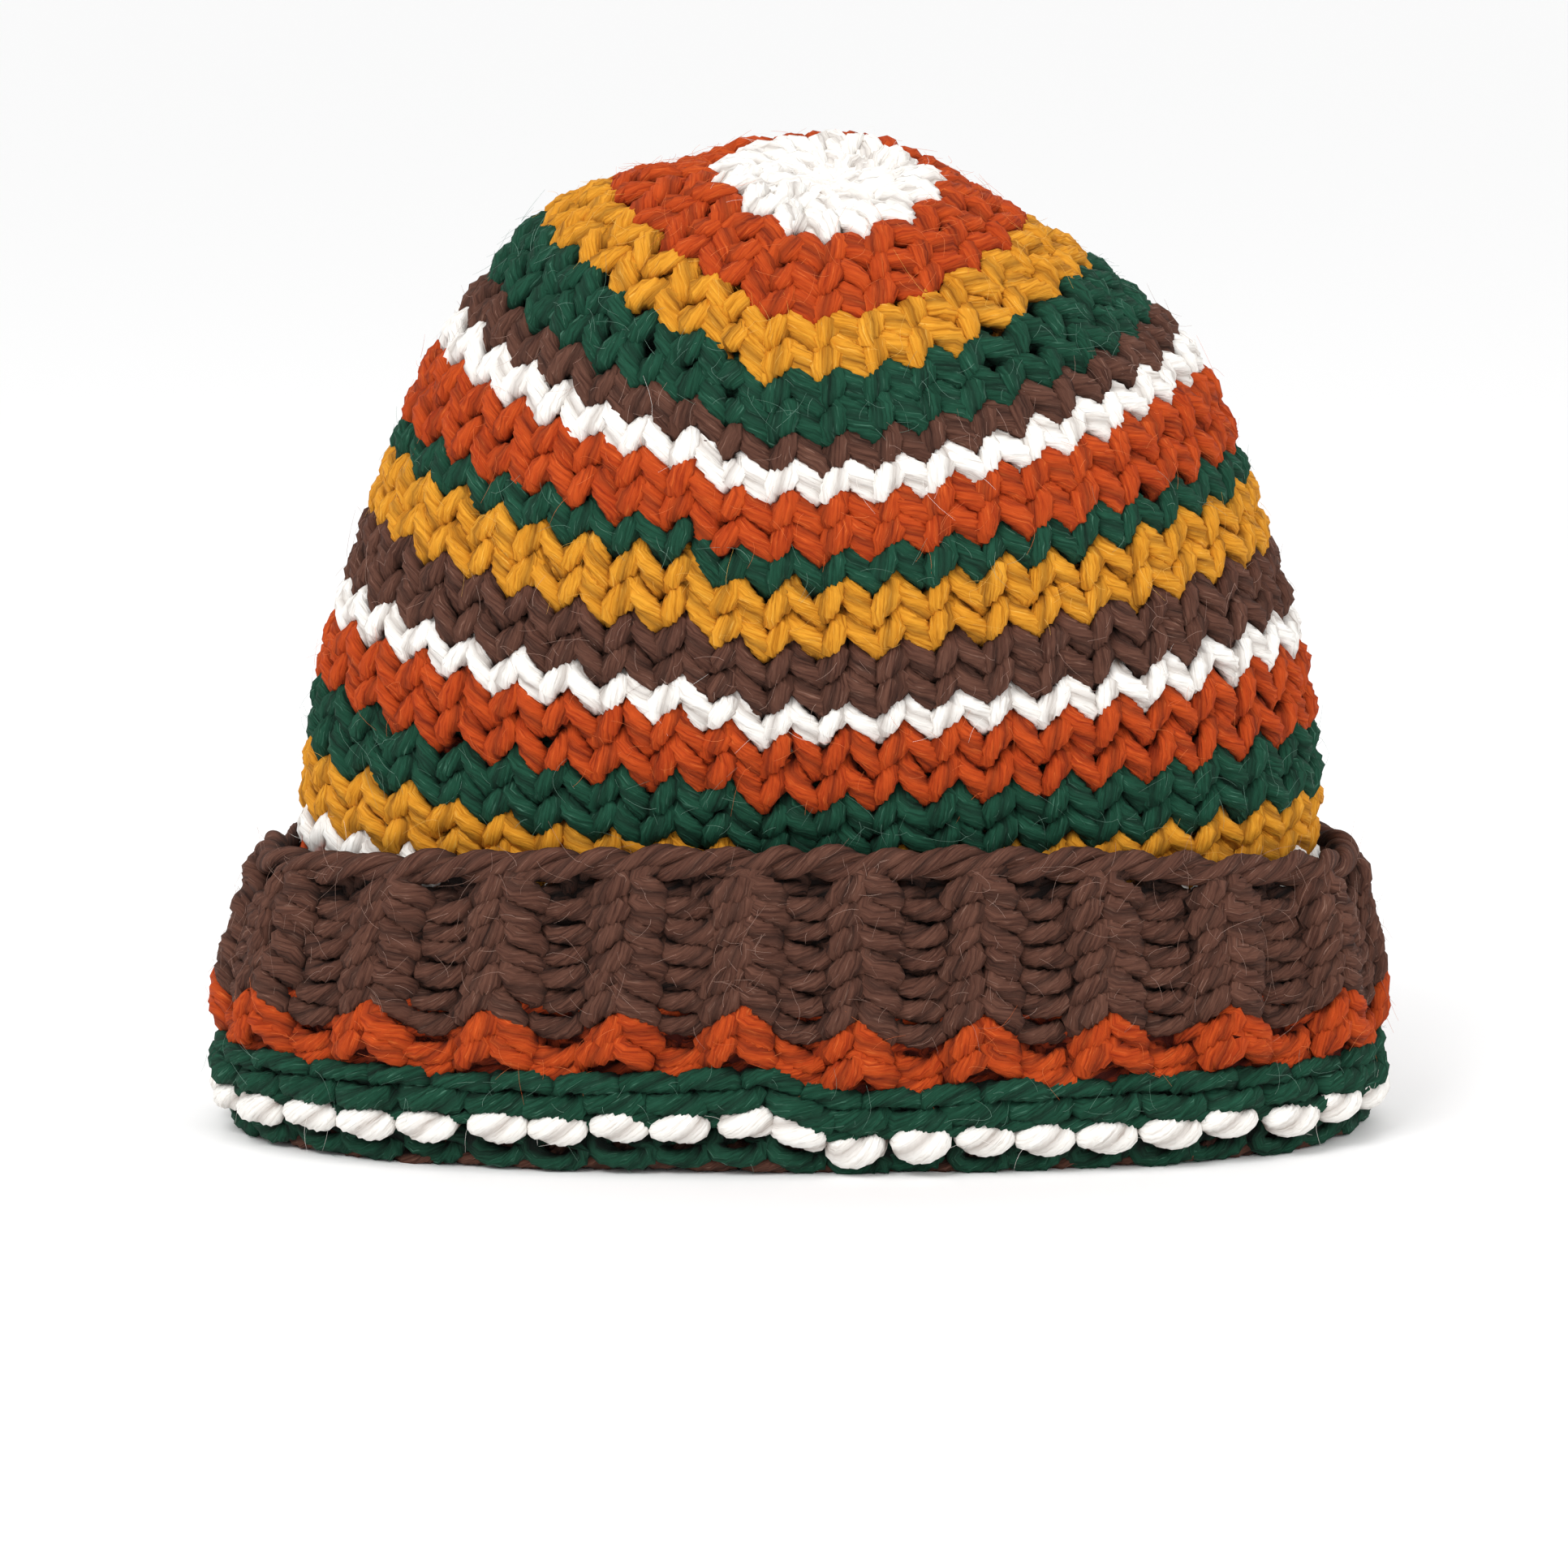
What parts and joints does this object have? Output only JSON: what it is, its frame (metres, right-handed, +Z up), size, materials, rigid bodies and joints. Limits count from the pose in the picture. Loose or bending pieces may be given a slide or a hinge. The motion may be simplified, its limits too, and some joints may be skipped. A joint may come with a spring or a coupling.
{
  "type": "knitted beanie with folded ribbed cuff",
  "caption": "Chunky hand-knitted striped beanie with a turned-up ribbed cuff, stocking-stitch body and gathered crown, worn on the head.",
  "frame": {"origin": "on the surface that the hat stands on, below the middle of its box", "axes": "+Z up from the folded cuff to the crown, front of the hat towards -Y, +X towards the right of the pictured front"},
  "size_m": [0.2379, 0.1124, 0.198],
  "materials": {
    "yarn_brown": "soft spun wool-blend yarn, matt with a faint halo of fibres",
    "yarn_orange": "soft spun wool-blend yarn, matt with a faint halo of fibres",
    "yarn_green": "soft spun wool-blend yarn, matt with a faint halo of fibres",
    "yarn_white": "soft spun wool-blend yarn, matt with a faint halo of fibres",
    "yarn_gold": "soft spun wool-blend yarn, matt with a faint halo of fibres"
  },
  "bodies": {
    "root": {"cast_on_edge": "yarn_brown", "cuff_rib_brown": "yarn_brown", "cuff_rib_orange": "yarn_orange", "cuff_turn_green": "yarn_green", "cuff_turn_white": "yarn_white", "fold_green": "yarn_green", "inner_brown": "yarn_brown", "inner_gold": "yarn_gold", "inner_green": "yarn_green", "inner_orange": "yarn_orange", "body_white_low": "yarn_white", "body_gold_low": "yarn_gold", "body_green_low": "yarn_green", "body_orange_low": "yarn_orange", "body_white_middle": "yarn_white", "body_brown": "yarn_brown", "body_gold_high": "yarn_gold", "body_green_high": "yarn_green", "body_orange_high": "yarn_orange", "body_white_high": "yarn_white", "crown_brown": "yarn_brown", "crown_green": "yarn_green", "crown_gold": "yarn_gold", "crown_orange": "yarn_orange", "crown_star_white": "yarn_white"}
  },
  "joints": []
}
